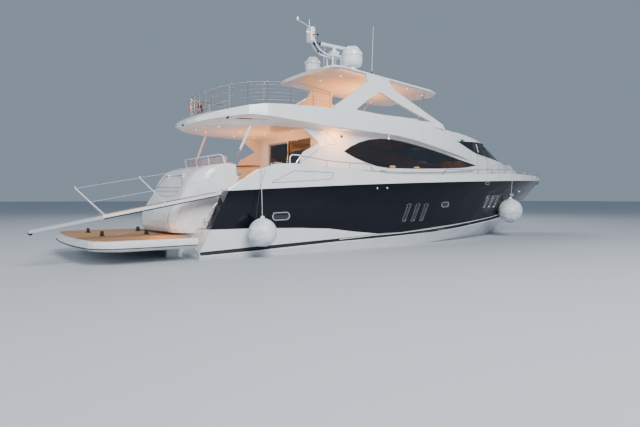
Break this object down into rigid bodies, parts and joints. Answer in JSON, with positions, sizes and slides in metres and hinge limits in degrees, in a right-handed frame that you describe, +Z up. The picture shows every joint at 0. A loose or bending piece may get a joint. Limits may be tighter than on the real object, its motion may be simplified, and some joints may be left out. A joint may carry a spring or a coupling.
{
  "type": "motor yacht",
  "caption": "Flybridge motor yacht afloat: dark topsides, white deckhouse and flybridge, hardtop on an open arch, radar mast, stern garage, lifting swim platform and gangway.",
  "frame": {"origin": "amidships on the centre line, on the waterline", "axes": "+X to the bow, +Y to port, +Z up"},
  "size_m": [27.6461, 7.1501, 11.2674],
  "materials": {
    "topsides_navy": "gloss",
    "gelcoat_white": "gloss",
    "antifouling": "satin",
    "teak": "matte",
    "stainless": "polished",
    "bronze": "satin",
    "glass": "gloss",
    "upholstery": "satin",
    "joinery": "gloss",
    "fender_rubber": "satin"
  },
  "bodies": {
    "hull": {"hull_bottom": "antifouling", "hull_topsides": "topsides_navy", "deck": "gelcoat_white", "bulwark_port": "gelcoat_white", "bulwark_stbd": "gelcoat_white", "transom": "gelcoat_white", "deckhouse": "gelcoat_white", "helm_door_port": "gelcoat_white", "helm_door_stbd": "gelcoat_white", "side_window_port": "glass", "side_window_stbd": "glass", "flybridge": "gelcoat_white", "windscreen": "glass", "helm_window_port": "glass", "helm_window_stbd": "glass", "hardtop": "gelcoat_white", "arch_leg_port": "gelcoat_white", "arch_leg_stbd": "gelcoat_white", "hardtop_strut_port": "stainless", "hardtop_strut_stbd": "stainless", "dome_large": "gelcoat_white", "dome_small": "gelcoat_white", "mast": "gelcoat_white", "fly_rail": "stainless", "wind_deflector": "glass", "fly_console": "gelcoat_white", "fly_helm_seat": "upholstery", "fly_sofa": "upholstery", "fly_table": "teak", "fly_bar": "gelcoat_white", "lounger_port": "upholstery", "lounger_stbd": "upholstery", "side_rail_port": "stainless", "bow_rail_port": "stainless", "side_rail_stbd": "stainless", "bow_rail_stbd": "stainless", "overhang_strut_port": "stainless", "overhang_strut_stbd": "stainless", "saloon_door_fixed": "stainless", "saloon_sofa": "upholstery", "saloon_table": "joinery", "saloon_cabinet": "joinery", "helm_console": "joinery", "helm_seat": "upholstery", "gangway_base": "stainless", "shaft_bracket_port": "bronze", "shaft_bracket_stbd": "bronze", "fender_aft": "fender_rubber", "fender_fwd": "fender_rubber"},
    "platform": {"swim_platform": "gelcoat_white"},
    "garage_door": {"garage_door": "gelcoat_white"},
    "propeller_port": {"propeller_port": "bronze"},
    "propeller_stbd": {"propeller_stbd": "bronze"},
    "rudder_port": {"rudder_port": "bronze"},
    "rudder_stbd": {"rudder_stbd": "bronze"},
    "radar": {"radar_scanner": "gelcoat_white"},
    "saloon_door": {"saloon_door_sliding": "stainless"},
    "gangway": {"gangway": "gelcoat_white"},
    "gangway_inner": {"gangway_inner": "teak"},
    "foredeck_hatch": {"foredeck_hatch": "glass"}
  },
  "joints": [
    {"name": "platform_lift", "type": "slide", "parent": "hull", "child": "platform", "axis": [0, 0, -1], "range_m": [0, 0.75]},
    {"name": "garage_door_hinge", "type": "hinge", "parent": "hull", "child": "garage_door", "pos_m": [-9.7, 0, 2.74], "axis": [0, 1, 0], "range_deg": [0, 75]},
    {"name": "propeller_port_spin", "type": "hinge", "parent": "hull", "child": "propeller_port", "pos_m": [-8.85, 1.2, -1.38], "axis": [0.9877, 0, 0.1564], "continuous": true},
    {"name": "propeller_stbd_spin", "type": "hinge", "parent": "hull", "child": "propeller_stbd", "pos_m": [-8.85, -1.2, -1.38], "axis": [0.9877, 0, 0.1564], "continuous": true},
    {"name": "rudder_port_turn", "type": "hinge", "parent": "hull", "child": "rudder_port", "pos_m": [-9.48, 1.2, -1.2], "axis": [0, 0, 1], "range_deg": [-35, 35]},
    {"name": "rudder_stbd_turn", "type": "hinge", "parent": "hull", "child": "rudder_stbd", "pos_m": [-9.48, -1.2, -1.2], "axis": [0, 0, 1], "range_deg": [-35, 35]},
    {"name": "radar_spin", "type": "hinge", "parent": "hull", "child": "radar", "pos_m": [-2.55, 0, 8.4], "axis": [0, 0, 1], "continuous": true},
    {"name": "saloon_door_slide", "type": "slide", "parent": "hull", "child": "saloon_door", "axis": [0, -1, 0], "range_m": [0, 1.5]},
    {"name": "gangway_hinge", "type": "hinge", "parent": "hull", "child": "gangway", "pos_m": [-8.8, -2.23, 2.11], "axis": [0, 1, 0], "range_deg": [-5, 35]},
    {"name": "gangway_extend", "type": "slide", "parent": "gangway", "child": "gangway_inner", "axis": [-0.9826, 0, -0.1857], "range_m": [-1.5, 0]},
    {"name": "foredeck_hatch_hinge", "type": "hinge", "parent": "hull", "child": "foredeck_hatch", "pos_m": [10.243, 0, 3.408], "axis": [0, 1, 0], "range_deg": [0, 80]}
  ],
  "couplings": [
    {"joint": "rudder_stbd_turn", "follows": "rudder_port_turn", "ratio": 1}
  ]
}
